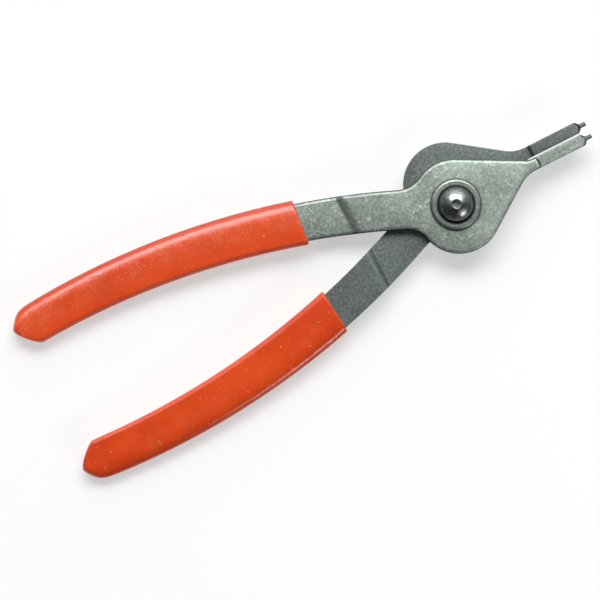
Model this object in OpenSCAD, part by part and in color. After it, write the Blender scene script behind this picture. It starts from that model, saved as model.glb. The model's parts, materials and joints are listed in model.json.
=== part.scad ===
// Internal retaining-ring pliers: two stamped levers that cross and lap on one rivet.
// Both levers are the same blank, the rear one turned over and pierced at another place.
// Each is set over by half its thickness at jaw and handle, so tips and handles lie in one plane.
// +X runs to the tips and +Z to the domed rivet head. The origin is the flat of the rear rivet head.

/* [Plates] */
// Thickness of the steel that both levers are stamped from
plate_t = 3; // [2.6:0.1:3.4]
// Play between the lapped plates and under the front washer
play = 0.05; // [0.02:0.01:0.1]
// Distance from the pivot to the centre line between the jaws
pivot_off = 2.1; // [1.6:0.1:2.4]

/* [Head] */
// Radius of the lobe on the jaw side of the head
lobe_r = 11.7; // [11.2:0.1:12.2]
// Reach of the lobe from the centre line
lobe_reach = 16.1; // [15.6:0.1:16.6]
// Radius of the crown on the handle side of the head
crown_r = 12; // [11.5:0.1:12.5]
// Reach of the crown from the centre line
crown_reach = 10.7; // [10.4:0.1:11]
// Slope of the straight edge from the lobe to the jaw, in degrees
lobe_slope = 35.2; // [34:0.2:37]
// Slope of the straight edge from the crown to the jaw, in degrees
crown_slope = 27.8; // [27:0.2:29]
// Radius of the hollow between the crown and the handle
valley_r = 8; // [6:0.5:9]
// Radius of the hollow between the lobe and the handle
crotch_r = 7; // [5:0.5:8]

/* [Jaws] */
// Width of each jaw
jaw_w = 3.3; // [3:0.1:3.6]
// Gap between the jaws at rest
jaw_gap = 0.5; // [0.4:0.05:0.6]
// Distance from the pivot to the shoulder behind the tip pin
jaw_reach = 41; // [39:0.5:43]
// Radius of the hollow where the lobe's edge runs into the jaw
outer_throat_r = 9; // [7:0.5:10]
// Radius of the hollow where the crown's edge runs into the jaw
inner_throat_r = 4.5; // [3.5:0.5:5]
// Diameter of the round tip pin
pin_d = 1.2; // [1:0.1:1.5]
// Length of the tip pin
pin_l = 1.75; // [1.5:0.05:2.5]
// Distance from the jaw's inner edge to the pin's axis
pin_inset = 1.65; // [1.4:0.05:1.8]
// Chamfer on the end of the pin
pin_chamfer = 0.15; // [0.1:0.05:0.2]

/* [Set-over] */
// Where the slope down to the jaw starts on the outer face
jaw_set_x = 25.8; // [25.6:0.1:26.4]
// Length of the slope down to the jaw
jaw_set_run = 0.6; // [0.5:0.1:0.9]
// How far nearer the pivot that slope lies on the inner face
jaw_set_lead = 0.5; // [0.3:0.1:0.5]
// Where the slope down to the handle starts on the outer face
handle_set_x = 27.4; // [26.5:0.1:29]
// Length of the slope down to the handle
handle_set_run = 1.8; // [1.5:0.1:2.5]
// How far nearer the pivot that slope lies on the inner face
handle_set_lead = 1.1; // [0.8:0.1:1.4]

/* [Handles] */
// Radius of the handle's outer edge
handle_out_r = 227.9; // [225:0.5:231]
// Distance behind the pivot of the outer edge's highest point
handle_out_x = 101; // [100:0.5:102]
// Height of that point above the centre line
handle_out_y = 26.6; // [26:0.1:27.2]
// Radius of the handle's inner edge
handle_in_r = 228.5; // [226:0.5:231]
// Distance behind the pivot of the inner edge's highest point
handle_in_x = 106.6; // [105:0.2:108]
// Height of that point above the centre line
handle_in_y = 16.85; // [16.2:0.05:17.4]
// Distance from the pivot to the point at the handle's end
handle_reach = 125.6; // [122:0.2:128]
// Radius of the two arcs that meet in that point
nose_r = 16; // [15:0.5:18]
// Half angle between those arcs at the point, in degrees
nose_angle = 60; // [56:1:64]

/* [Grips] */
// Thickness of the dipped coat
coat = 1.1; // [0.9:0.05:1.4]
// Rounding of the coat's long edges
coat_round = 1.9; // [1.2:0.1:2]
// Rounding of the coat at its mouth
mouth_round = 0.4; // [0.2:0.05:0.6]
// Distance from the pivot to the front grip's mouth
front_mouth_x = 41; // [38:0.5:46]
// Distance from the pivot to the rear grip's mouth
rear_mouth_x = 43.5; // [38:0.5:46]
// Tilt of the mouths, in degrees
mouth_tilt = 6; // [0:0.5:12]
// Space between the coat and the steel
coat_fit = 0.05; // [0.02:0.01:0.1]

/* [Pivot] */
// Diameter of the rivet's shank
shank_d = 6; // [5:0.1:6.5]
// Running clearance on the shank's radius
shank_fit = 0.05; // [0.02:0.01:0.1]
// Diameter of the domed head
dome_d = 9.6; // [9:0.1:10.5]
// Height of the domed head
dome_h = 3.8; // [3:0.1:4.5]
// Height of the dome's upright rim
dome_rim = 0.6; // [0.4:0.1:0.8]
// Diameter of the dimple that setting leaves on the crown
dimple_d = 1.8; // [1:0.1:2.4]
// Depth of the dimple
dimple_h = 0.15; // [0.1:0.05:0.3]
// Diameter of the set head at the back
set_head_d = 10.4; // [9.6:0.1:11]
// Height of the set head
set_head_h = 1.4; // [1:0.1:2]
// Chamfer round the set head
set_head_chamfer = 0.5; // [0.3:0.1:0.7]
// Outer diameter of the washers
washer_d = 14.1; // [12.5:0.1:14.4]
// Thickness of the washers
washer_t = 1.1; // [0.8:0.1:1.4]
// Rounding of the washers' stamped edge
washer_round = 0.3; // [0.2:0.05:0.4]

/* [Hidden] */
$fn = 720;

// Heights of the stack on the rivet, from the rear face up
rear_plate_z = set_head_h + washer_t;
front_plate_z = rear_plate_z + plate_t + play;
front_washer_z = front_plate_z + plate_t + play;
dome_z = front_washer_z + washer_t;
mid_z = front_plate_z - play / 2;
set_over = (plate_t + play) / 2;
shank_r = shank_d / 2;
bore_r = shank_r + shank_fit;

// Plan of one lever: x towards the tip, y from the centre line towards the lever's own handle
lobe_c = [0, lobe_r - lobe_reach];
crown_c = [0, crown_reach - crown_r];
lobe_end = lobe_c + lobe_r * [sin(lobe_slope), -cos(lobe_slope)];
crown_end = crown_c + crown_r * [sin(crown_slope), cos(crown_slope)];
jaw_in_y = -jaw_gap / 2;
jaw_out_y = jaw_in_y - jaw_w;
outer_corner = [lobe_end[0] + (jaw_out_y - lobe_end[1]) / tan(lobe_slope), jaw_out_y];
inner_corner = [crown_end[0] + (crown_end[1] - jaw_in_y) / tan(crown_slope), jaw_in_y];
handle_out_c = [-handle_out_x, handle_out_y - handle_out_r];
handle_in_c = [-handle_in_x, handle_in_y - handle_in_r];
handle_root_x = -crown_r / 2;
valley_c = meet(handle_out_c, handle_out_r + valley_r, crown_c, crown_r + valley_r, 1);
crotch_c = meet(handle_in_c, handle_in_r - crotch_r, lobe_c, lobe_r + crotch_r, 1);

// The handle ends in two arcs that cross at a point on its middle, each drawn from the far side
point = [-handle_reach, (handle_out_y + handle_in_y) / 2];
nose_c = [for (side = [1, -1]) point + nose_r * [sin(nose_angle), side * cos(nose_angle)]];

// The tip pin, and the cone that the jaw's end is ground to
pin_r = pin_d / 2;
pin_y = jaw_in_y - pin_inset;
pin_shoulder = pin_r / 6;
cone_l = jaw_w + pin_shoulder;
pin_root = cone_l / 2;

// How far an arc runs past the edge that it blends into, so that the two cross at one clear point
overrun = plate_t / 1000;

// Sizes of the shapes that only bound others, past every edge that they meet
wide = 4 * handle_out_y;
tall = 4 * plate_t;
long = 2 * handle_reach;

// Half the grip's thickness, and the middle of its mouth across the handle
grip_h = plate_t / 2 + coat;
mouth_y = (handle_out_y + handle_in_y) / 4;

steel = [0.55, 0.59, 0.56];
dark_steel = [0.45, 0.48, 0.46];
vinyl = [0.89, 0.31, 0.16];

// Where two circles cross, left (side = 1) or right (side = -1) of the way from the first to the second
function meet(c1, r1, c2, r2, side) =
    let (
        apart = norm(c2 - c1),
        along = (c2 - c1) / apart,
        foot = (r1 * r1 - r2 * r2 + apart * apart) / (2 * apart)
    )
    c1 + foot * along + side * sqrt(r1 * r1 - foot * foot) * [-along[1], along[0]];

// The point of a circle that lies on the way from its centre to p
function rim(c, r, p) = c + r * (p - c) / norm(p - c);

// Fills a corner from a on one edge and b on the other, out to an arc of radius r about c
module hollow(c, r, a, b, core) {
    difference() {
        polygon([a, b, core]);
        translate(c) circle(r + overrun);
    }
}

// The hollow where a straight edge runs into the jaw's edge along X, rooted in the middle of the jaw
module throat(corner, slope, r, side) {
    reach = r * tan(slope / 2);
    on_jaw = corner + [reach, 0];
    on_edge = corner - reach * [cos(slope), side * sin(slope)];
    hollow(on_jaw - [0, side * r], r, on_edge, on_jaw, corner + [0, side * jaw_w / 2]);
}

// One arc of the handle's end, open towards the head
module nose_plan(c, d) {
    translate(c) circle(nose_r + d);
    translate([c[0], -wide / 2]) square([long, wide]);
}

// The handle between its two long arcs, grown by d all round
module handle_plan(d) {
    difference() {
        intersection() {
            translate(handle_out_c) circle(handle_out_r + d);
            translate([handle_root_x - long, -wide / 2]) square([long, wide]);
            nose_plan(nose_c[0], d);
            nose_plan(nose_c[1], d);
        }
        translate(handle_in_c) circle(handle_in_r - d);
    }
}

module head_plan() {
    translate(lobe_c) circle(lobe_r + overrun);
    translate(crown_c) circle(crown_r + overrun);
    polygon([
        lobe_c,
        lobe_end,
        outer_corner,
        [jaw_reach, jaw_out_y],
        [jaw_reach, jaw_in_y],
        inner_corner,
        crown_end,
        crown_c
    ]);
    throat(outer_corner, lobe_slope, outer_throat_r, 1);
    throat(inner_corner, crown_slope, inner_throat_r, -1);
}

module lever_plan() {
    handle_plan(0);
    head_plan();
    hollow(
        valley_c,
        valley_r,
        rim(handle_out_c, handle_out_r, valley_c),
        rim(crown_c, crown_r, valley_c),
        crown_c
    );
    hollow(
        crotch_c,
        crotch_r,
        rim(handle_in_c, handle_in_r, crotch_c),
        rim(lobe_c, lobe_r, crotch_c),
        crown_c
    );
}

// Side view of the plate: the head is set over from the plane of the jaw and the handle
module lever_side() {
    top = plate_t / 2;
    polygon([
        [-long, top],
        [-handle_set_x - handle_set_run, top],
        [-handle_set_x, top + set_over],
        [jaw_set_x, top + set_over],
        [jaw_set_x + jaw_set_run, top],
        [long, top],
        [long, -top],
        [jaw_set_x + jaw_set_run - jaw_set_lead, -top],
        [jaw_set_x - jaw_set_lead, set_over - top],
        [handle_set_lead - handle_set_x, set_over - top],
        [handle_set_lead - handle_set_x - handle_set_run, -top],
        [-long, -top]
    ]);
}

// Everything up to the jaw's end, which is ground to a cone about the pin
module tip_bound() {
    translate([-long, -wide / 2, -tall / 2]) cube([long + jaw_reach - cone_l, wide, tall]);
    translate([jaw_reach - cone_l, pin_y, 0]) rotate([0, 90, 0])
        cylinder(h = cone_l, r1 = pin_r + pin_shoulder + cone_l, r2 = pin_r + pin_shoulder);
}

module tip_pin() {
    straight_l = pin_root + pin_l - pin_chamfer;
    translate([jaw_reach - pin_root, pin_y, 0]) rotate([0, 90, 0]) {
        cylinder(h = straight_l, r = pin_r);
        translate([0, 0, straight_l]) cylinder(h = pin_chamfer, r1 = pin_r, r2 = pin_r - pin_chamfer);
    }
}

// One lever about its centre line and mid-plane, bored for the pivot at the given y
module lever(bore_y) {
    difference() {
        intersection() {
            translate([0, 0, -tall / 2]) linear_extrude(tall) lever_plan();
            rotate([90, 0, 0]) linear_extrude(wide, center = true) lever_side();
            tip_bound();
        }
        translate([0, bore_y, -tall / 2]) cylinder(h = tall, r = bore_r);
    }
    tip_pin();
}

// What rounding by e takes off an outer corner, drawn from the centre of the round
module corner(e) {
    difference() {
        square(2 * e);
        circle(e);
    }
}

// Section through the grip from one x to another, where its edge is rounded by e
module grip_section(from, to, e) {
    outward = to > from;
    round_x = outward ? to - e : to + e;
    turn = outward ? 0 : 90;
    difference() {
        translate([min(from, to), -grip_h]) square([abs(to - from), 2 * grip_h]);
        translate([round_x, grip_h - e]) rotate(turn) corner(e);
        translate([round_x, e - grip_h]) rotate(-90 - turn) corner(e);
    }
}

// One arc of the grip's end, open towards the mouth
module grip_nose(c) {
    translate(c) rotate_extrude() grip_section(0, nose_r + coat, coat_round);
    translate([c[0], -wide / 2, -grip_h]) cube([long, wide, 2 * grip_h]);
}

// The coat before the steel is taken out of it: long edges, end and mouth, each rounded over
module grip_blank(mouth_x) {
    intersection() {
        translate(handle_out_c) rotate_extrude()
            grip_section(0, handle_out_r + coat, coat_round);
        translate(handle_in_c) rotate_extrude()
            grip_section(handle_in_r + wide, handle_in_r - coat, coat_round);
        grip_nose(nose_c[0]);
        grip_nose(nose_c[1]);
        translate([-mouth_x, mouth_y, 0]) rotate([90, 0, -mouth_tilt])
            linear_extrude(wide, center = true) grip_section(-long, 0, mouth_round);
    }
}

module grip(mouth_x) {
    difference() {
        grip_blank(mouth_x);
        translate([0, 0, -plate_t / 2 - coat_fit])
            linear_extrude(plate_t + 2 * coat_fit) handle_plan(coat_fit);
    }
}

// A stamped washer, with its rounded edge up
module washer() {
    r = washer_d / 2;
    rotate_extrude() difference() {
        translate([bore_r, 0]) square([r - bore_r, washer_t]);
        translate([r - washer_round, washer_t - washer_round]) corner(washer_round);
    }
}

// Places a piece of the front or the rear lever
module in_front() {
    translate([0, pivot_off, mid_z]) children();
}

module behind() {
    translate([0, pivot_off, mid_z]) rotate([180, 0, 0]) children();
}

module front_lever() {
    color(steel) in_front() lever(-pivot_off);
}

module rear_lever() {
    color(dark_steel) behind() lever(pivot_off);
}

module front_grip() {
    color(vinyl) in_front() grip(front_mouth_x);
}

module rear_grip() {
    color(vinyl) behind() grip(rear_mouth_x);
}

module pivot_rivet() {
    dome_r = dome_d / 2;
    cap_h = dome_h - dome_rim;
    cap_r = (dome_r * dome_r + cap_h * cap_h) / (2 * cap_h);
    dimple_r = (dimple_d * dimple_d / 4 + dimple_h * dimple_h) / (2 * dimple_h);
    set_r = set_head_d / 2;
    color(steel) {
        cylinder(h = set_head_chamfer, r1 = set_r - set_head_chamfer, r2 = set_r);
        translate([0, 0, set_head_chamfer]) cylinder(h = set_head_h - set_head_chamfer, r = set_r);
        cylinder(h = dome_z + dome_rim, r = shank_r);
        difference() {
            intersection() {
                translate([0, 0, dome_z]) cylinder(h = dome_h, r = dome_r);
                translate([0, 0, dome_z + dome_h - cap_r]) sphere(cap_r);
            }
            translate([0, 0, dome_z + dome_h - dimple_h + dimple_r]) sphere(dimple_r);
        }
    }
}

module front_washer() {
    color(steel) translate([0, 0, front_washer_z]) washer();
}

module rear_washer() {
    color(dark_steel) translate([0, 0, rear_plate_z]) rotate([180, 0, 0]) washer();
}

front_lever();
rear_lever();
front_grip();
rear_grip();
pivot_rivet();
front_washer();
rear_washer();
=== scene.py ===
# %% [markdown]
# # Ring pliers with dipped grips
# Two stamped steel levers cross on one rivet, and their handles are dipped in vinyl. The solids of the tool
# are ready and in place. This lesson gives them what a drawing leaves out: edges rolled by the die, a coat
# that has flowed round the handle, and steel and vinyl that have been in a toolbox.

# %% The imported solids
import json
import math

import bmesh
import bpy
from mathutils import Matrix, Vector


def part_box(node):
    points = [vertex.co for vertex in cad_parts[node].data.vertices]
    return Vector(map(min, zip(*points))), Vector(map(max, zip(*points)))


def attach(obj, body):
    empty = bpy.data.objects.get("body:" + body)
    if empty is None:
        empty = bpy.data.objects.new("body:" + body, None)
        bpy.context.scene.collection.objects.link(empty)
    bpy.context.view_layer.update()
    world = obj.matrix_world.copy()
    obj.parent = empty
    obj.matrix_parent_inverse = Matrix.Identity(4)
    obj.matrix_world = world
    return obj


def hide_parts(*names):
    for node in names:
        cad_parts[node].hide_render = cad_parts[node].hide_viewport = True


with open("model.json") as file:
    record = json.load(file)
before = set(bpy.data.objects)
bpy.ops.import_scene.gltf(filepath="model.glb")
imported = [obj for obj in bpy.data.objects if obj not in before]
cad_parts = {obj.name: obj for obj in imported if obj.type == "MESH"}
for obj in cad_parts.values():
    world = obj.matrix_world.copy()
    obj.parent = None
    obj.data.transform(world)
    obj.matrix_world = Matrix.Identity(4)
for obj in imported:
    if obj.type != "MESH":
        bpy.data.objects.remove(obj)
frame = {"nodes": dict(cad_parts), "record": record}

MM = 0.001
scene = bpy.context.scene
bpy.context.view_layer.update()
body_of = {node: body for body, nodes in frame["record"]["behaviour"]["bodies"].items() for node in nodes}
print("solids and what they move with:", body_of)

# %% [markdown]
# ## The camera
# The photograph looks straight down on the tool, which lies with its jaws to the upper right. A long lens
# from about a metre away keeps the plates free of perspective. The image's own right and up are kept as
# vectors, because the lamps are placed by them too.

# %% A camera square above the plates
PHOTO_TURN = math.radians(26.66)
PHOTO_WIDTH = 168 * MM
PHOTO_CENTRE = Vector((-50.95, -4.3, 7)) * MM
LENS = 200

image_right = Vector((math.cos(PHOTO_TURN), -math.sin(PHOTO_TURN), 0))
image_up = Vector((math.sin(PHOTO_TURN), math.cos(PHOTO_TURN), 0))
skyward = Vector((0, 0, 1))

lens = bpy.data.cameras.new("photo_camera")
lens.lens = LENS
camera = bpy.data.objects.new("photo_camera", lens)
scene.collection.objects.link(camera)
camera_height = PHOTO_WIDTH * LENS / lens.sensor_width
camera.matrix_world = Matrix((image_right, image_up, skyward)).transposed().to_4x4()
camera.location = PHOTO_CENTRE + skyward * camera_height
scene.camera = camera
scene.view_settings.view_transform = "Standard"
print("camera is", round(camera_height, 3), "m above the plates")

# %% [markdown]
# ## Shaders written as sums
# A finish is a chain of small nodes, and chains are hard to read as links. Here one class stands for a
# socket, so that a mask can be written as a sum, such as `1 - wear`, and any other node comes from one
# method. Three short helpers cover what nearly every finish needs: noise, a soft step and a mix of two
# colours.

# %% One class for sockets
class Wire:
    """One socket of a node tree. Sums on it add Math nodes, and node() adds any other node."""

    def __init__(self, tree, socket=None):
        self.tree = tree
        self.socket = socket

    def node(self, kind, settings, inputs, output=0):
        made = self.tree.nodes.new(kind)
        for name, value in settings.items():
            setattr(made, name, value)
        for name, value in inputs.items():
            if isinstance(value, Wire):
                self.tree.links.new(value.socket, made.inputs[name])
            else:
                made.inputs[name].default_value = value
        return Wire(self.tree, made.outputs[output])

    def sum(self, operation, first, second):
        return self.node("ShaderNodeMath", {"operation": operation}, {0: first, 1: second})

    def __add__(self, other):
        return self.sum("ADD", self, other)

    def __radd__(self, other):
        return self.sum("ADD", other, self)

    def __sub__(self, other):
        return self.sum("SUBTRACT", self, other)

    def __rsub__(self, other):
        return self.sum("SUBTRACT", other, self)

    def __mul__(self, other):
        return self.sum("MULTIPLY", self, other)

    def __rmul__(self, other):
        return self.sum("MULTIPLY", other, self)


def noise(place, per_mm, detail, rough=0.6):
    settings = {"noise_dimensions": "3D"}
    return place.node(
        "ShaderNodeTexNoise",
        settings,
        {"Vector": place, "Scale": per_mm, "Detail": detail, "Roughness": rough},
    )


def step(value, low, high):
    settings = {"interpolation_type": "SMOOTHSTEP"}
    return value.node("ShaderNodeMapRange", settings, {"Value": value, "From Min": low, "From Max": high})


def mix(factor, first, second):
    settings = {"data_type": "RGBA"}
    return factor.node("ShaderNodeMix", settings, {0: factor, 6: first, 7: second}, output=2)


def rgb(red, green, blue):
    return (red, green, blue, 1)


print("helpers ready: noise, step, mix, rgb")

# %% [markdown]
# ## The studio
# The light comes from the top of the photograph: upper edges are bright, lower ones dark, and the rivet's
# dome is white above and dark below. So the surroundings fall off from pale at the top of the image to dark
# at the bottom, like a bench under a window.

# %% Surroundings that darken towards the bottom of the image
DARK_SIDE = rgb(0.03, 0.031, 0.03)
PALE_SIDE = rgb(0.50, 0.515, 0.50)
DARK_TO_PALE = (-0.25, 0.9)

world = bpy.data.worlds.new("studio")
scene.world = world
world.use_nodes = True
surround = Wire(world.node_tree)
heading = surround.node("ShaderNodeTexCoord", {}, {}, output="Generated")
towards_top = heading.node(
    "ShaderNodeVectorMath", {"operation": "DOT_PRODUCT"}, {0: heading, 1: image_up}, output=1
)
backdrop = world.node_tree.nodes["Background"]
shade = mix(step(towards_top, *DARK_TO_PALE), DARK_SIDE, PALE_SIDE)
world.node_tree.links.new(shade.socket, backdrop.inputs["Color"])
print("surroundings: pale at the top of the image, dark at the bottom")

# %% [markdown]
# A lamp is a flat panel that looks at the middle of the tool. It is given by its direction, distance, size
# and radiance, so that it can be made larger without looking brighter. The window and the pale wall behind
# it stand beyond the top of the image. One small strip stands low at the lower right: it draws the light
# line along the lower edge of the grips and a spot on the dome.

# %% Lamps
def soft_lamp(name, towards, distance, size, radiance):
    """A flat lamp of size (width, height) that faces the tool's middle from that direction."""
    data = bpy.data.lights.new(name, "AREA")
    data.shape = "RECTANGLE"
    data.size, data.size_y = size
    data.energy = radiance * math.pi * size[0] * size[1]
    lamp = bpy.data.objects.new(name, data)
    scene.collection.objects.link(lamp)
    towards = towards.normalized()
    lamp.location = PHOTO_CENTRE + towards * distance
    lamp.rotation_mode = "QUATERNION"
    lamp.rotation_quaternion = towards.to_track_quat("Z", "Y")
    lamp.visible_camera = False
    print(name, "radiance", radiance, "at", [round(c, 2) for c in lamp.location])


soft_lamp(
    "window_lamp",
    towards=image_up * 0.78 + skyward,
    distance=2.0,
    size=(2.2, 0.8),
    radiance=7.3,
)
soft_lamp(
    "pale_wall",
    towards=image_up * 2.14 + skyward,
    distance=2.0,
    size=(2.4, 1.46),
    radiance=1.0,
)
soft_lamp(
    "low_strip",
    towards=image_right * 0.69 - image_up * 0.72 + skyward * 0.5,
    distance=0.8,
    size=(0.36, 0.15),
    radiance=7,
)

# %% [markdown]
# The floor is plain and pale. It tilts a little, because the tool lies on its rivet head and on the ends of
# its grips. Half of what the camera and the reflections see of it is a plain glow, which keeps it nearly
# white, and the other half takes the soft shadow of the tool.

# %% Floor under the rivet head and the grips
FLOOR_R = 4.0
FLOOR_SIDES = 96
REST_X = -4.7 * MM
GRIP_END_X = -124.7 * MM
GRIP_LOW = 2.92 * MM
floor_tilt = math.atan2(GRIP_LOW, REST_X - GRIP_END_X)

ground = bmesh.new()
bmesh.ops.create_circle(ground, cap_ends=True, segments=FLOOR_SIDES, radius=FLOOR_R)
bmesh.ops.rotate(ground, verts=ground.verts, cent=(0, 0, 0), matrix=Matrix.Rotation(floor_tilt, 3, "Y"))
bmesh.ops.translate(ground, verts=ground.verts, vec=(0, 0, REST_X * math.tan(floor_tilt)))
floor_mesh = bpy.data.meshes.new("bench_top")
ground.to_mesh(floor_mesh)
ground.free()
floor = bpy.data.objects.new("bench_top", floor_mesh)
scene.collection.objects.link(floor)
print("floor tilts", round(math.degrees(floor_tilt), 2), "degrees")

# %% The finish of the bench
BENCH_GLOW = 0.5
BENCH_DULL = rgb(0.97, 0.97, 0.97)
BENCH_CLEAN = rgb(0.985, 0.985, 0.985)


def new_finish(name):
    """A material with its shader, and the piece's own place in millimetres to paint by."""
    finish = bpy.data.materials.new(name)
    finish.use_nodes = True
    shader = finish.node_tree.nodes["Principled BSDF"]
    metres = Wire(finish.node_tree).node("ShaderNodeTexCoord", {}, {}, output="Object")
    place = metres.node("ShaderNodeVectorMath", {"operation": "SCALE"}, {0: metres, "Scale": 1 / MM})
    return finish, shader, place


def feed(shader, socket, wire):
    wire.tree.links.new(wire.socket, shader.inputs[socket])


def bump(height, depth_mm):
    """A normal from a height between 0 and 1 that stands for that depth."""
    inputs = {"Strength": 1.0, "Distance": depth_mm * MM, "Height": height}
    return height.node("ShaderNodeBump", {}, inputs)


bench_white, shader, place = new_finish("bench_white")
feed(shader, "Base Color", mix(noise(place, 0.02, 2), BENCH_DULL, BENCH_CLEAN))
shader.inputs["Roughness"].default_value = 0.9
shader.inputs["Specular IOR Level"].default_value = 0.1
glow = place.node("ShaderNodeEmission", {}, {"Color": rgb(1, 1, 1), "Strength": 1.0})
seen = place.node("ShaderNodeLightPath", {}, {}, output="Is Camera Ray")
for kind in ("Is Glossy Ray", "Is Transmission Ray"):
    seen = seen.sum("MAXIMUM", seen, seen.node("ShaderNodeLightPath", {}, {}, output=kind))
lit = Wire(bench_white.node_tree, shader.outputs["BSDF"])
bench = seen.node("ShaderNodeMixShader", {}, {0: BENCH_GLOW * seen, 1: lit, 2: glow})
bench.tree.links.new(bench.socket, bench_white.node_tree.nodes["Material Output"].inputs["Surface"])
floor_mesh.materials.append(bench_white)
print("bench_white has", len(bench_white.node_tree.nodes), "nodes")

# %% [markdown]
# ## Dull steel
# The levers are stamped from strip and finished in a dull grey coat that looks sandy close up: cloudy
# patches, a fine grain, pale flecks where the coat has rubbed through, and bright edges. The face that each
# lever turns to the other one keeps a darker coat. One function paints both levers: it is told which side
# faces outwards. Wear could be painted on by hand, but the Bevel node bends the normal near an edge, so a
# mask made from it follows any outline. Walls and the steep part of the rolled edges are painted near
# black as painted shade, and so are inside corners, which the Ambient Occlusion node finds on the piece
# alone, and a ring round the washer.

# %% Masks for edges, walls, corners and scratches
EDGE_SAMPLES = 6
EDGE_BEND = (0.004, 0.10)
CORNER_SAMPLES = 8
OPEN_SKY = (0.5, 0.92)


def near_edges(place, reach_mm):
    """1 close to an edge and 0 on a flat face."""
    bent = place.node("ShaderNodeBevel", {"samples": EDGE_SAMPLES}, {"Radius": reach_mm * MM})
    straight = place.node("ShaderNodeNewGeometry", {}, {}, output="Normal")
    same = bent.node("ShaderNodeVectorMath", {"operation": "DOT_PRODUCT"}, {0: bent, 1: straight}, output=1)
    return step(1 - same, *EDGE_BEND)


def upright(place):
    """1 on a face that looks up or down and 0 on a wall."""
    facing = place.node("ShaderNodeNewGeometry", {}, {}, output="Normal")
    apart = facing.node("ShaderNodeVectorMath", {"operation": "ABSOLUTE"}, {0: facing})
    return apart.node("ShaderNodeSeparateXYZ", {}, {0: apart}, output="Z")


def corners_of(place, reach_mm):
    """1 deep in an inside corner of the piece and 0 in the open."""
    settings = {"samples": CORNER_SAMPLES, "only_local": True}
    open_sky = place.node("ShaderNodeAmbientOcclusion", settings, {"Distance": reach_mm * MM}, output="AO")
    return 1 - step(open_sky, *OPEN_SKY)


def away_from(place, x, y):
    """The distance from an axis through the plates, in millimetres."""
    offset = place.node("ShaderNodeVectorMath", {"operation": "SUBTRACT"}, {0: place, 1: (x, y, 0)})
    flat = offset.node("ShaderNodeVectorMath", {"operation": "MULTIPLY"}, {0: offset, 1: (1, 1, 0)})
    return flat.node("ShaderNodeVectorMath", {"operation": "LENGTH"}, {0: flat}, output="Value")


def within(place, radius, fade):
    """1 within a radius of the rivet's axis, fading to 0 outside it."""
    return 1 - step(away_from(place, 0, 0), radius, radius + fade)


def line_mark(place, middle, angle, length, width):
    """A scratch: 1 along a short line on the plate and 0 away from it."""
    turned = place.node(
        "ShaderNodeMapping",
        {"vector_type": "TEXTURE"},
        {"Vector": place, "Location": (middle[0], middle[1], 0), "Rotation": (0, 0, math.radians(angle))},
    )
    apart = turned.node("ShaderNodeVectorMath", {"operation": "ABSOLUTE"}, {0: turned})
    along = apart.node("ShaderNodeSeparateXYZ", {}, {0: apart}, output="X")
    across = apart.node("ShaderNodeSeparateXYZ", {}, {0: apart}, output="Y")
    return (1 - step(across, 0, width)) * (1 - step(along, length * 0.3, length / 2))


print("masks ready: near_edges, upright, corners_of, away_from, within, line_mark")

# %% Dull steel for a lever
COAT_DARK = rgb(0.215, 0.255, 0.228)
COAT_GREY = rgb(0.35, 0.41, 0.37)
COAT_PALE = rgb(0.52, 0.60, 0.545)
BARE_STEEL = rgb(0.70, 0.76, 0.72)
INNER_DARK = rgb(0.12, 0.14, 0.128)
INNER_GREY = rgb(0.235, 0.268, 0.248)
# The next two colours are painted shade: one for walls and steep edges, the other for inside corners and
# for rings round the washers and the rivet's head.
STEEP_SHADE = rgb(0.035, 0.04, 0.037)
PAINTED_SHADE = rgb(0.012, 0.013, 0.012)
HANDLED_X = (-40, -24)
HEAD_START_X = (-3, 11)
HEAD_END_X = (20, 27)
JAW_BEND_START_X = (23, 24)
JAW_BEND_END_X = (27.5, 29)
JAW_SHADE_X = (28, 30)
EDGE_WEAR = 0.45
# The radius of a ring of painted shade round the washer, and how far it fades.
WASHER_SHADE_R = 7.1
SHADE_FADE = 0.5
OUTER_FADE = (-0.25, 0.25)
DARK_TO_GREY = (0.39, 0.56)
GREY_TO_PALE = (0.53, 0.67)
INNER_PATCHES = (0.40, 0.64)


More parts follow.
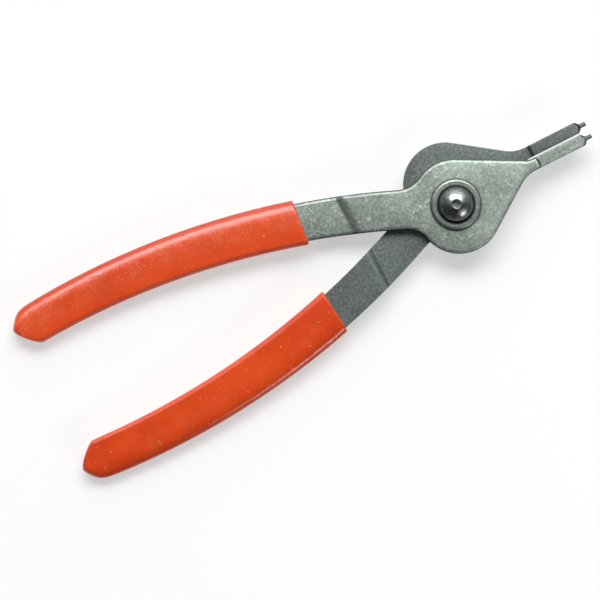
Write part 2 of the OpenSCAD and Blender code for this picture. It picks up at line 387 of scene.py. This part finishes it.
def lever_finish(name, outwards, middle_z, shaded_jaw_edges, head_shine, corner_shade, marks):
    """Dull steel for one lever, whose outer face looks up if outwards is 1 and down if it is -1."""
    finish, shader, place = new_finish(name)
    cloud = noise(place, 0.11, 2)
    mottle = noise(place, 1.25, 4)
    sand = noise(place, 3.4, 3, 0.7)
    drift = step(noise(place, 0.09, 1), 0.45, 0.6)
    rubbed = step(noise(place, 0.62, 5, 0.72) + 0.04 * drift, 0.61, 0.68)
    thread = noise(place, 0.5, 2, 0.5) - 0.5
    scuffs = (1 - step(thread * thread, 0.0001, 0.0025)) * step(noise(place, 0.4, 3), 0.52, 0.60)
    along = place.node("ShaderNodeSeparateXYZ", {}, {0: place}, output="X")
    height = place.node("ShaderNodeSeparateXYZ", {}, {0: place}, output="Z")
    handled = step(along, *HANDLED_X)
    head = step(along, *HEAD_START_X) * (1 - step(along, *HEAD_END_X))
    outer = step((height - middle_z) * outwards, *OUTER_FADE)
    # Painted shade: walls and the steep part of rolled edges are darkened; on a lever that asks for it, the
    # shade reaches further near the jaw tips and less far over the jaw's bend.
    jaw_shade = shaded_jaw_edges * step(along, *JAW_SHADE_X)
    bent = shaded_jaw_edges * step(along, *JAW_BEND_START_X) * (1 - step(along, *JAW_BEND_END_X))
    wall = 0.45 + 0.25 * jaw_shade - 0.4 * bent
    rolled_over = 0.84 + 0.14 * jaw_shade - 0.6 * bent
    steep_shade = 1 - step(upright(place), wall, rolled_over)

    patchy = 0.45 * mottle + 0.35 * sand + 0.14 * cloud + 0.036 * handled + head_shine * head
    coat = mix(step(patchy, *DARK_TO_GREY), COAT_DARK, COAT_GREY)
    coat = mix(step(patchy, *GREY_TO_PALE), coat, COAT_PALE)
    inner = mix(step(patchy, *INNER_PATCHES), INNER_DARK, INNER_GREY)
    colour = mix(outer, inner, coat)
    worn = near_edges(place, EDGE_WEAR) * step(mottle, 0.40, 0.58) * (1 - steep_shade)
    bright = worn * (0.10 + 0.35 * outer) + rubbed * (0.12 + 0.60 * outer) + scuffs * (0.08 + 0.45 * outer)
    for mark in marks:
        bright = bright + 0.75 * line_mark(place, *mark)
    colour = mix(step(bright, 0, 1.1), colour, BARE_STEEL)
    # Painted shade on walls and steep edges.
    colour = mix(0.9 * steep_shade, colour, STEEP_SHADE)
    # Painted shade in inside corners, found by ambient occlusion, and in a ring round the washer.
    shade_depth, reach = corner_shade
    corners = shade_depth * corners_of(place, reach) * (1 - 0.8 * bent)
    shade_mask = corners.sum("MAXIMUM", corners, 0.7 * within(place, WASHER_SHADE_R, SHADE_FADE))
    colour = mix(0.9 * shade_mask, colour, PAINTED_SHADE)
    feed(shader, "Base Color", colour)
    feed(shader, "Roughness", 0.36 + 0.26 * patchy - 0.10 * step(bright, 0.2, 1))
    shader.inputs["Metallic"].default_value = 0.7
    shader.inputs["Specular Tint"].default_value = rgb(0.4, 0.4, 0.4)
    feed(shader, "Normal", bump(0.6 * sand + 0.4 * mottle, 0.03))
    print(name, "has", len(finish.node_tree.nodes), "nodes")
    return finish


print("coat from", COAT_DARK[:3], "to", COAT_PALE[:3])

# %% The steel of both levers
# Each scratch has its middle in millimetres, its angle in degrees, its length and its width.
FRONT_MARKS = (
    ((16.0, -1.9), -58, 2.8, 0.20),
    ((13.2, -4.6), -11, 3.6, 0.24),
    ((12.5, -5.6), -8, 3.0, 0.20),
    ((11.7, 0.9), 62, 3.2, 0.14),
    ((-37.6, 10.4), -40, 7.0, 0.22),
    ((-37.0, 16.6), -75, 2.2, 0.22),
    ((-29.1, 8.7), 90, 6.0, 0.22),
)
# Both levers get painted shade on steep edges and in corners; the rear one also further onto its jaw edges.
front_steel = lever_finish(
    "front_lever_steel",
    outwards=1,
    middle_z=6.3,
    shaded_jaw_edges=0,
    head_shine=0.06,
    corner_shade=(1.0, 1.7),
    marks=FRONT_MARKS,
)
rear_steel = lever_finish(
    "rear_lever_steel",
    outwards=-1,
    middle_z=4.75,
    shaded_jaw_edges=1,
    head_shine=0.0,
    corner_shade=(0.55, 1.2),
    marks=(),
)

# %% [markdown]
# ## Levers with rolled edges
# A press that shears a plate rolls the edge over on the side where the punch enters and leaves a sharp edge
# on the other. The solids have square edges, so a merged copy of each lever takes its place. One width for
# all would round the sharp side too. So every edge carries a weight, and one Bevel modifier rounds it by
# that share: most on the outer side and over the bend of the handle, less on the inner side and along the
# jaws, least round the ground tips. A round needs room, so spare lines that cut up the short edges at a
# bend are dissolved first. Hardened normals keep the flat faces flat in the light.

# %% Kinds of edges and their shares of the rounding
LARGEST_ROUND = 1.2 * MM
TIP_X = 36.8 * MM
JAW_X = 25.85 * MM
BORE_ZONE = 3.5 * MM
FACE_Z = 0.3
LEVEL_Z = 0.97
SLIGHT = math.radians(3)
SHARES = {
    "outer": 0.82,
    "inner": 0.14,
    "jaw": 0.24,
    "bend": 0.82,
    "jaw_bend": 0.14,
    "crease": 0.25,
    "jaw_crease": 0.25,
    "tip": 0.03,
}


def edge_kind(edge, outwards):
    """Names an edge by its place on the lever, which sets how far it is rounded."""
    lean = [face.normal.z * outwards for face in edge.link_faces]
    reach = min(vert.co.x for vert in edge.verts)
    if reach > TIP_X:
        return "tip"
    if max(vert.co.xy.length for vert in edge.verts) < BORE_ZONE:
        return "inner"
    if min(abs(z) for z in lean) > FACE_Z:
        bend = "bend" if edge.is_convex else "crease"
        return "jaw_" + bend if reach > 0 else bend
    if reach > JAW_X:
        return "jaw"
    return "outer" if max(lean) > FACE_Z else "inner"


def spare_edges(plate):
    """The lines on the walls that would cut the short edges of a set-over shorter still."""
    spare = []
    for edge in plate.edges:
        if not edge.is_manifold or edge.calc_face_angle() > SLIGHT:
            continue
        on_wall = all(abs(face.normal.z) < FACE_Z for face in edge.link_faces)
        around = [face.normal.z for vert in edge.verts for face in vert.link_faces]
        on_slope = any(FACE_Z < abs(z) < LEVEL_Z for z in around)
        if on_wall and on_slope and max(vert.co.x for vert in edge.verts) < TIP_X:
            spare.append(edge)
    return spare


print("rounds in mm:", {kind: round(share * LARGEST_ROUND / MM, 2) for kind, share in SHARES.items()})

# %% A piece that stands for a solid
def show(shape, name, node, finish):
    """Makes a bmesh a piece with its finish, which stands for a solid, moves with it and hides it."""
    mesh = bpy.data.meshes.new(name)
    shape.to_mesh(mesh)
    shape.free()
    mesh.materials.append(finish)
    piece = bpy.data.objects.new(name, mesh)
    scene.collection.objects.link(piece)
    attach(piece, body_of[node])
    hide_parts(node)
    return piece


def rounded(piece, width, segments):
    """Rounds the weighted edges of a piece, each by its share of the width."""
    roll = piece.modifiers.new("rolled_edges", "BEVEL")
    roll.width = width
    roll.segments = segments
    roll.limit_method = "WEIGHT"
    roll.profile = 0.5
    roll.use_clamp_overlap = False
    roll.harden_normals = True


print("helpers ready: show, rounded")

# %% Two rolled levers
MERGE = 0.002 * MM
FLAT = math.radians(0.4)
CORNER = math.radians(22)
LEVER_STEPS = 5


def rolled_lever(node, outwards, finish):
    """A copy of a lever with its edges weighed and rounded."""
    plate = bmesh.new()
    plate.from_mesh(frame["nodes"][node].data)
    bmesh.ops.remove_doubles(plate, verts=plate.verts, dist=MERGE)
    bmesh.ops.dissolve_limit(plate, angle_limit=FLAT, verts=plate.verts, edges=plate.edges)
    bmesh.ops.dissolve_edges(plate, edges=spare_edges(plate), use_verts=False)
    loose = [vert for vert in plate.verts if len(vert.link_edges) == 2 and vert.calc_edge_angle() < FLAT]
    bmesh.ops.dissolve_verts(plate, verts=loose)
    weight = plate.edges.layers.float.new("bevel_weight_edge")
    count = dict.fromkeys(SHARES, 0)
    for edge in plate.edges:
        if edge.is_manifold and edge.calc_face_angle() > CORNER:
            kind = edge_kind(edge, outwards)
            edge[weight] = SHARES[kind]
            count[kind] += 1
    for face in plate.faces:
        face.smooth = True
    open_edges = sum(not edge.is_manifold for edge in plate.edges)
    print(node, "edges to round:", count, "open:", open_edges, "faces:", len(plate.faces))
    piece = show(plate, node + "_plate", node, finish)
    rounded(piece, LARGEST_ROUND, LEVER_STEPS)


rolled_lever("front_lever", 1, front_steel)
rolled_lever("rear_lever", -1, rear_steel)

# %% [markdown]
# ## The rivet
# The rivet is turned from bar with a high domed head, and its other end is set over the rear washer. Such
# a shape is a profile spun once round. The dome's curve is itself made by spinning one vertex about the
# centre of the dome, so there is no table of points, and the dimple on the crown comes the same way.

# %% Profiles that are drawn and spun
ROUND_STEPS = 96


def run_on(shape, last, radius, height):
    """Draws the profile on to the next point."""
    point = shape.verts.new((radius, 0, height))
    shape.edges.new((last, point))
    return point


def arc_on(shape, last, centre_z, angle, steps):
    """Draws the profile on round an arc about a point of the axis."""
    turned = bmesh.ops.spin(
        shape,
        geom=[last],
        cent=(0, 0, centre_z),
        axis=(0, 1, 0),
        angle=angle,
        steps=steps,
    )
    return turned["geom_last"][0]


def spun(shape):
    """Spins a profile once round the rivet's axis into a closed skin."""
    bmesh.ops.spin(
        shape,
        geom=shape.verts[:] + shape.edges[:],
        cent=(0, 0, 0),
        axis=(0, 0, 1),
        angle=math.tau,
        steps=ROUND_STEPS,
        use_merge=True,
    )
    bmesh.ops.remove_doubles(shape, verts=shape.verts, dist=MERGE)
    bmesh.ops.recalc_face_normals(shape, faces=shape.faces)
    for face in shape.faces:
        face.smooth = True


def weigh_corners(shape, angle, share):
    """Gives every corner of a shape a share of the rounding."""
    weight = shape.edges.layers.float.new("bevel_weight_edge")
    sharp = [edge for edge in shape.edges if edge.calc_face_angle(0) > angle]
    for edge in sharp:
        edge[weight] = share(edge)
    return len(sharp)


print("helpers ready: run_on, arc_on, spun, weigh_corners")

# %% A profile spun into a rivet
DOME_Z = 9.7 * MM
DOME_R = 4.8 * MM
DOME_RIM = 1.4 * MM
DOME_H = 3.8 * MM
DIMPLE_R = 1.4 * MM
DIMPLE_H = 0.14 * MM
SHANK_R = 3.0 * MM
SET_R = 5.2 * MM
SET_H = 1.4 * MM
SET_CHAMFER = 0.5 * MM
DOME_STEPS = 18
DIMPLE_STEPS = 5
DIMPLE_SHARE = 0.2
RIVET_CORNER = math.radians(18)
RIVET_ROUND = 0.3 * MM
RIVET_ROUND_STEPS = 4

cap_h = DOME_H - DOME_RIM
cap_r = (DOME_R ** 2 + cap_h ** 2) / (2 * cap_h)
cap_z = DOME_Z + DOME_H - cap_r
dimple_r = (DIMPLE_R ** 2 + DIMPLE_H ** 2) / (2 * DIMPLE_H)
rim_angle = math.asin(DOME_R / cap_r)
crown_angle = math.asin(DIMPLE_R / cap_r)
crown_z = cap_z + cap_r * math.cos(crown_angle)
bowl_angle = math.asin(DIMPLE_R / dimple_r)

rivet = bmesh.new()
foot = rivet.verts.new((0, 0, 0))
point = run_on(rivet, foot, SET_R - SET_CHAMFER, 0)
point = run_on(rivet, point, SET_R, SET_CHAMFER)
point = run_on(rivet, point, SET_R, SET_H)
point = run_on(rivet, point, SHANK_R, SET_H)
point = run_on(rivet, point, SHANK_R, DOME_Z)
point = run_on(rivet, point, DOME_R, DOME_Z)
point = run_on(rivet, point, DOME_R, DOME_Z + DOME_RIM)
point = arc_on(rivet, point, cap_z, crown_angle - rim_angle, DOME_STEPS)
arc_on(rivet, point, crown_z + dimple_r * math.cos(bowl_angle), bowl_angle, DIMPLE_STEPS)
spun(rivet)


def rivet_share(edge):
    """The rim of the dimple is rounded less than the other corners."""
    return DIMPLE_SHARE if edge.verts[0].co.z > crown_z - MM else 1


corners = weigh_corners(rivet, RIVET_CORNER, rivet_share)
rivet_top = max(vert.co.z for vert in rivet.verts)
print("rivet corners:", corners, "faces:", len(rivet.faces), "top in mm:", round(rivet_top / MM, 2))

# %% [markdown]
# The dome has been handled most, so its steel is smoother and brighter than the plates'. It is never
# perfect: setting and wear leave it faintly dented, which breaks up the reflection of the lamp. Its steep
# side is painted dark as painted shade.

# %% The finish of the rivet
TURNED_WEAR = 0.3
STEEP_FADE = 0.28
NO_SHADE_RING = -1


def turned_steel(name, dull, bright, gloss, dents_mm, steep, shade_r):
    """Smooth steel with painted shade where it is steep and in a ring within a radius of the axis."""
    finish, shader, place = new_finish(name)
    dents = noise(place, 0.32, 2, 0.5)
    mottle = noise(place, 1.1, 4, 0.62)
    sand = noise(place, 4.0, 2)
    patchy = step(0.6 * mottle + 0.4 * sand, 0.34, 0.64)
    worn = near_edges(place, TURNED_WEAR)
    colour = mix(patchy, dull, bright)
    colour = mix(0.5 * worn, colour, BARE_STEEL)
    # Painted shade on steep faces.
    colour = mix(0.8 * (1 - step(upright(place), steep - STEEP_FADE, steep)), colour, STEEP_SHADE)
    # Painted shade in a ring round the axis.
    colour = mix(0.9 * within(place, shade_r, SHADE_FADE), colour, PAINTED_SHADE)
    feed(shader, "Base Color", colour)
    feed(shader, "Roughness", gloss + 0.16 * mottle - 0.05 * worn)
    shader.inputs["Metallic"].default_value = 1.0
    feed(shader, "Normal", bump(0.86 * dents + 0.12 * mottle + 0.02 * sand, dents_mm))
    print(name, "has", len(finish.node_tree.nodes), "nodes")
    return finish


rivet_steel = turned_steel(
    "rivet_steel",
    dull=rgb(0.20, 0.225, 0.21),
    bright=rgb(0.42, 0.455, 0.435),
    gloss=0.22,
    dents_mm=0.16,
    steep=0.88,
    shade_r=NO_SHADE_RING,
)
rivet_piece = show(rivet, "pivot_rivet_dome", "pivot_rivet", rivet_steel)
rounded(rivet_piece, RIVET_ROUND, RIVET_ROUND_STEPS)

# %% [markdown]
# ## The washers
# A washer is blanked from strip, so its edge is rolled on one side like the levers'. Its profile has only
# four corners: it is spun into a ring, and the corners get unequal shares of one rounding. Its walls and a
# ring round the head of the rivet are painted dark as painted shade.

# %% Two spun washers
WASHER_R = 7.05 * MM
WASHER_BORE = 3.05 * MM
WASHER_ROLL = 0.65 * MM
WASHER_ROLL_STEPS = 4
WASHER_SHARP = 0.3
RIVET_SHADE_R = 5.25

# The washers get painted shade on their walls and in a ring round the rivet's head.
washer_steel = turned_steel(
    "washer_steel",
    dull=rgb(0.24, 0.275, 0.25),
    bright=rgb(0.43, 0.48, 0.445),
    gloss=0.34,
    dents_mm=0.06,
    steep=0.4,
    shade_r=RIVET_SHADE_R,
)


def spun_washer(node, outwards):
    """A ring between the heights of a washer's solid, rolled on its outer face."""
    low, high = (corner.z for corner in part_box(node))
    face_z = high if outwards > 0 else low
    ring = bmesh.new()
    first = ring.verts.new((WASHER_BORE, 0, low))
    point = run_on(ring, first, WASHER_R, low)
    point = run_on(ring, point, WASHER_R, high)
    point = run_on(ring, point, WASHER_BORE, high)
    ring.edges.new((point, first))
    spun(ring)

    def share(edge):
        rolled = all(abs(vert.co.z - face_z) < MERGE for vert in edge.verts)
        outside = edge.verts[0].co.xy.length > (WASHER_R + WASHER_BORE) / 2
        return 1.0 if rolled and outside else WASHER_SHARP

    corners = weigh_corners(ring, CORNER, share)
    piece = show(ring, node + "_ring", node, washer_steel)
    rounded(piece, WASHER_ROLL, WASHER_ROLL_STEPS)
    print(node, "corner edges:", corners, "from", round(low / MM, 2), "to", round(high / MM, 2), "mm")


spun_washer("front_washer", 1)
spun_washer("rear_washer", -1)

# %% [markdown]
# ## Dipped grips
# The handles are dipped hot into liquid vinyl, which gels into a skin with a soft rounded end and a blunt
# lip at the mouth. A thickened copy of the handle would keep its sharp corners, so the coat has an outline
# of its own. It runs a coat's thickness outside the handle's two long arcs and the two short arcs of its
# end. A soft maximum of the distances to these arcs rounds the corners as flowing vinyl does.

# %% The outline that the coat fills
# The grips are drawn in millimetres. An arc is the pair of its centre and its radius.
HANDLE_OUT = (Vector((-101, 26.6 - 227.9)), 227.9)
HANDLE_IN = (Vector((-106.6, 16.85 - 228.5)), 228.5)
HANDLE_POINT = Vector((-125.6, (26.6 + 16.85) / 2))
NOSE_R = 16
NOSE_ANGLE = math.radians(60)
COAT = 1.09
FLOW_OUT = 0.6
FLOW_IN = 0.2
FLOW_TIP = 0.12
SEARCH_STEPS = 40
SEARCH_REACH = 9
SWEEP_C = (HANDLE_OUT[0] + HANDLE_IN[0]) / 2
SWEEP_R = (HANDLE_OUT[1] + HANDLE_IN[1]) / 2
nose_centres = [
    HANDLE_POINT + NOSE_R * Vector((math.sin(NOSE_ANGLE), side * math.cos(NOSE_ANGLE))) for side in (1, -1)
]


def soft_max(first, second, flow):
    """The larger of two, rounded off where they are nearly the same."""
    largest = max(first, second)
    both = math.exp((first - largest) / flow) + math.exp((second - largest) / flow)
    return largest + flow * math.log(both)


def outside_coat(spot):
    """How far a point of the plan lies outside the coat, in millimetres, with soft corners."""
    outer = (spot - HANDLE_OUT[0]).length - HANDLE_OUT[1] - COAT
    inner = HANDLE_IN[1] - COAT - (spot - HANDLE_IN[0]).length
    nose_in, nose_out = ((spot - centre).length - NOSE_R - COAT for centre in nose_centres)
    if spot.x > nose_centres[0].x:
        return max(outer, inner)
    outer = soft_max(outer, nose_out, FLOW_OUT)
    inner = soft_max(inner, nose_in, FLOW_IN)
    return soft_max(outer, inner, FLOW_TIP)


def ray(angle, radius):
    """The point of the plan at an angle and a radius about the centre of the sweep."""
    return SWEEP_C + radius * Vector((math.sin(angle), math.cos(angle)))


def edge_along(angle, inside, towards):
    """The radius where the coat's edge crosses the ray at that angle, found by halving."""
    near = inside
    far = towards
    for _ in range(SEARCH_STEPS):
        half = (near + far) / 2
        if outside_coat(ray(angle, half)) < 0:
            near = half
        else:
            far = half
    return near


# The closed end lies between these two angles, and it is found by halving too.
end_angle = -0.02
stop_angle = -0.2
for _ in range(SEARCH_STEPS):
    half = (end_angle + stop_angle) / 2
    if outside_coat(ray(half, (HANDLE_POINT - SWEEP_C).length)) < 0:
        end_angle = half
    else:
        stop_angle = half
print("the coat ends at x =", round(ray(end_angle, SWEEP_R).x, 2), "mm")

# %% [markdown]
# A rounded section is swept along the handle's arc by spinning it, and each ring is then fitted to the
# outline. The two long edges are not alike: the outer edge of the arc has a wide round, where the vinyl ran
# off, and the inner edge a tight one. The mouth is slanted, and the rings crowd together at the closed end.

# %% A section swept along the handle
HALF_H = 2.6
SECTION_HALF_W = 6.2
CORNER_H = 2.25
ROUGH_HALF_W = 2
SECTION_STEPS = 7
LONG_SIDE = 0.4
FLAT_SHARE = 0.5
RINGS = 96


def widened(across, outer_w, inner_w):
    """Gives the rounded part of a section, at first half of each side, its own width on that side."""
    flat = 1 - (outer_w if across > 0 else inner_w) / SECTION_HALF_W
    share = abs(across)
    if share < FLAT_SHARE:
        share = share / FLAT_SHARE * flat
    else:
        share = flat + (share - FLAT_SHARE) / (1 - FLAT_SHARE) * (1 - flat)
    return math.copysign(share, across)


def swept_grip(mouth_x, outer_w, inner_w):
    """The outer skin of a grip about the lever's centre line, open at the mouth, in millimetres."""
    skin = bmesh.new()
    half_h = HALF_H / CORNER_H
    signs = ((-1, -1), (1, -1), (1, 1), (-1, 1))
    corners = [skin.verts.new((0, y * ROUGH_HALF_W, z * half_h)) for y, z in signs]
    skin.faces.new(corners)
    bmesh.ops.bevel(
        skin,
        geom=corners,
        offset=1,
        offset_type="OFFSET",
        segments=SECTION_STEPS,
        profile=0.5,
        affect="VERTICES",
        material=-1,
    )
    bmesh.ops.delete(skin, geom=skin.faces[:], context="FACES_ONLY")
    long_sides = [edge for edge in skin.edges if edge.calc_length() > LONG_SIDE]
    bmesh.ops.subdivide_edges(skin, edges=long_sides, cuts=SECTION_STEPS)
    bmesh.ops.scale(skin, vec=(1, 1 / ROUGH_HALF_W, 1 / half_h), verts=skin.verts)

    u_layer = skin.verts.layers.float.new("across")
    v_layer = skin.verts.layers.float.new("through")
    s_layer = skin.verts.layers.float.new("along")
    for vert in skin.verts:
        vert[u_layer] = widened(vert.co.y, outer_w, inner_w)
        vert[v_layer] = vert.co.z
    mouth_angle = math.asin((SWEEP_C.x + mouth_x) / -SWEEP_R)
    length = (mouth_angle - end_angle) * SWEEP_R
    ring = skin.verts[:] + skin.edges[:]
    for count in range(1, RINGS + 1):
        made = bmesh.ops.spin(
            skin,
            geom=ring,
            cent=(0, -SWEEP_R, 0),
            axis=(0, 0, 1),
            angle=length / SWEEP_R / RINGS,
            steps=1,
        )
        ring = made["geom_last"]
        ring_verts = [part for part in ring if isinstance(part, bmesh.types.BMVert)]
        for vert in ring_verts:
            vert[s_layer] = count / RINGS
    bmesh.ops.pointmerge(skin, verts=ring_verts, merge_co=(0, 0, 0))
    return skin, u_layer, v_layer, s_layer, mouth_angle, length


print("a grip is swept in", RINGS, "rings")

# %% Every ring fitted to the outline
RING_CROWD = 1.35
CROWN = 0.02
MOUTH_TILT = math.radians(6)
MOUTH_FADE = 14
LIP = 0.10
LIP_REACH = 1.3
END_ROUND = 1.9
END_GAP = 1e-6


def ring_place(share, length):
    """Rings crowd together towards the closed end, where the coat turns over."""
    return length * (1 - (1 - share) ** RING_CROWD)


def fit_grip(mouth_x, outer_w, inner_w):
    """Moves every ring of a swept skin out to the coat's outline."""
    skin, u_layer, v_layer, s_layer, mouth_angle, length = swept_grip(mouth_x, outer_w, inner_w)
    limits = {}
    for vert in skin.verts:
        share = vert[s_layer]
        run = ring_place(share, length)
        if share not in limits:
            angle = max(mouth_angle - run / SWEEP_R, end_angle + END_GAP)
            inside = (HANDLE_POINT - SWEEP_C).length
            limits[share] = (
                edge_along(angle, inside, inside - SEARCH_REACH),
                edge_along(angle, inside, inside + SEARCH_REACH),
            )
        low, high = limits[share]
        left = (length - run) / END_ROUND
        thin = math.sqrt(max(0, 1 - (1 - left) ** 2)) if left < 1 else 1
        u = vert[u_layer]
        v = vert[v_layer]
        lip = LIP * max(0, 1 - run / LIP_REACH) ** 2
        across = u * ((high - low) / 2 + lip)
        slant = across * math.tan(MOUTH_TILT - mouth_angle) * max(0, 1 - run / MOUTH_FADE) ** 2
        spot = ray(mouth_angle - (run - slant) / SWEEP_R, (low + high) / 2 + across)
        rise = v * (HALF_H * (1 - CROWN * u * u) * thin + lip)
        vert.co = (spot.x, spot.y, rise)
    skin.normal_update()
    bmesh.ops.recalc_face_normals(skin, faces=skin.faces)
    for face in skin.faces:
        face.smooth = True
    return skin


print("the lip at the mouth stands out by", LIP, "mm")

# %% A coat with a wall
SKIN = 1.02
MIRROR_Y = 2.1
GRIP_Z = 5.525


def dipped_grip(node, mouth_x, outer_w, inner_w, turn, finish):
    """A coat on one handle, with a wall inwards from its skin. The rear one is turned over."""
    skin = fit_grip(mouth_x, outer_w, inner_w)
    bmesh.ops.rotate(skin, verts=skin.verts, cent=(0, 0, 0), matrix=Matrix.Rotation(turn, 3, "X"))
    bmesh.ops.translate(skin, verts=skin.verts, vec=(0, MIRROR_Y, GRIP_Z))
    bmesh.ops.scale(skin, vec=(MM, MM, MM), verts=skin.verts)
    open_edges = sum(edge.is_boundary for edge in skin.edges)
    print(node, "faces:", len(skin.faces), "edges at the mouth:", open_edges)
    piece = show(skin, node + "_coat", node, finish)
    wall = piece.modifiers.new("coat_wall", "SOLIDIFY")
    wall.thickness = SKIN * MM
    wall.offset = -1
    smooth = piece.modifiers.new("flowed", "SUBSURF")
    smooth.levels = 1
    smooth.render_levels = 1


print("the wall of the coat is", SKIN, "mm thick")

# %% [markdown]
# ## Vinyl
# The coat is glossy orange-red. Close up it is not even: the colour drifts, a pale bloom lies over it in
# clouds, and there are small light specks. Three zones run along the arc of the handle: the outer rim is
# painted a deeper red as painted shade, the palm beside it has most of the bloom, and the inner edge is
# rubbed dull. Gloss comes from a low roughness that rises where the bloom lies, and a slight waviness
# breaks the long highlights.

# %% The finish of the grips
# The first colour is painted shade, a deeper red for the outer rim of the coat.
VINYL_RIM_SHADE = rgb(0.50, 0.042, 0.012)
VINYL_DEEP = rgb(0.66, 0.056, 0.009)
VINYL = rgb(0.75, 0.074, 0.012)
VINYL_BLOOM = rgb(0.83, 0.20, 0.105)
VINYL_SPECK = rgb(0.90, 0.50, 0.38)
RIM_ZONE = (3.4, 5.2)
PALM_ZONE = (-3.6, 0.6)
RUBBED_ZONE = (-5.7, -4.3)


def vinyl_finish(name, side, haze):
    """Glossy vinyl, with zones measured outwards from the arc of the front (1) or rear (-1) handle."""
    finish, shader, place = new_finish(name)
    outwards = away_from(place, SWEEP_C.x, MIRROR_Y + side * SWEEP_C.y) - SWEEP_R
    rim_shade = step(outwards, *RIM_ZONE)
    palm = step(outwards, *PALM_ZONE) * (1 - rim_shade)
    rubbed = 1 - step(outwards, *RUBBED_ZONE)
    drift = noise(place, 0.06, 3)
    cloud = noise(place, 0.22, 5, 0.65)
    fine = noise(place, 1.7, 4, 0.7)
    wave = noise(place, 0.30, 3, 0.45)
    specks = step(noise(place, 0.95, 3, 0.75), 0.655, 0.72)
    bloom = step(0.45 * cloud + 0.55 * fine, 0.54 - 0.18 * haze, 0.68)
    colour = mix(step(drift, 0.46 - 0.16 * haze, 0.76 - 0.16 * haze), VINYL_DEEP, VINYL)
    bloom = haze * bloom * (0.15 + 0.85 * palm)
    colour = mix(0.36 * bloom, colour, VINYL_BLOOM)
    # Painted shade: the outer rim is darkened to a deeper red.
    colour = mix(0.7 * haze * rim_shade, colour, VINYL_RIM_SHADE)
    colour = mix(0.55 * specks, colour, VINYL_SPECK)
    feed(shader, "Base Color", colour)
    feed(shader, "Roughness", 0.11 + 0.18 * bloom + 0.13 * fine + 0.3 * rubbed)
    shader.inputs["Specular IOR Level"].default_value = 0.65
    feed(shader, "Normal", bump(0.12 * wave + 0.04 * fine, 1.0))
    print(name, "has", len(finish.node_tree.nodes), "nodes")
    return finish


front_vinyl = vinyl_finish("front_grip_vinyl", side=1, haze=1.0)
rear_vinyl = vinyl_finish("rear_grip_vinyl", side=-1, haze=0.45)
dipped_grip("front_grip", mouth_x=41, outer_w=4.4, inner_w=1.4, turn=0, finish=front_vinyl)
dipped_grip("rear_grip", mouth_x=43.5, outer_w=4.6, inner_w=1.1, turn=math.pi, finish=rear_vinyl)
